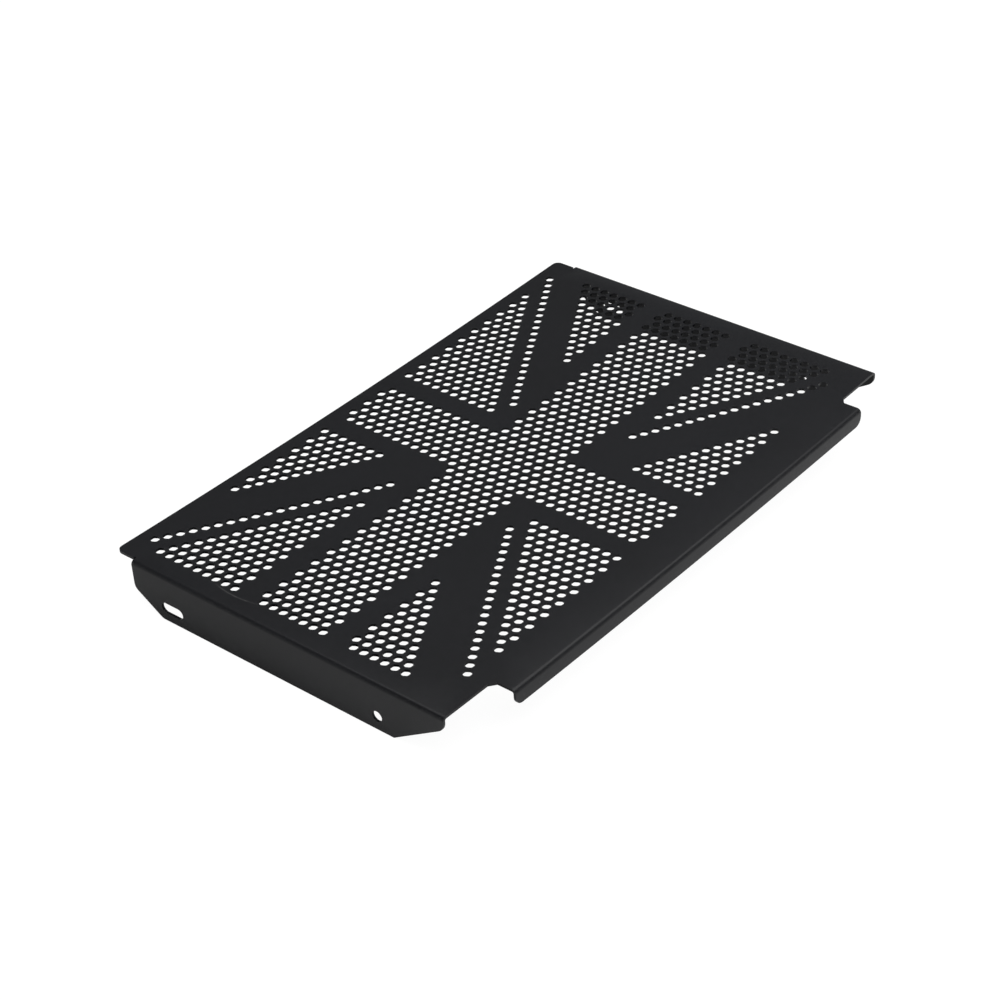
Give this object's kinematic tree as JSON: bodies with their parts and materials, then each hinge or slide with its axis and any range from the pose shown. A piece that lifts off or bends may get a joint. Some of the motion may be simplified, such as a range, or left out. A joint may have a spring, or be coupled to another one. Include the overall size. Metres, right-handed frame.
{
  "type": "motorcycle radiator guard",
  "caption": "Folded and perforated sheet guard that bolts over a motorcycle radiator, with end flanges, a stiffening lip and a pattern of holes in crosses and diagonals.",
  "frame": {"origin": "middle of the guard's length and width, at the level of the lower edges of the two end flanges, on which it stands", "axes": "+X along the guard, +Y across it from the folded lip to the plain long edge, +Z from the flanges' lower edges up through the outer face of the perforated panel"},
  "size_m": [0.384, 0.248, 0.0295],
  "materials": {
    "coated_sheet": "black powder coat, satin with a very fine grain, the same on every face, cut edge and hole wall"
  },
  "bodies": {
    "root": {"guard": "coated_sheet"}
  },
  "joints": []
}
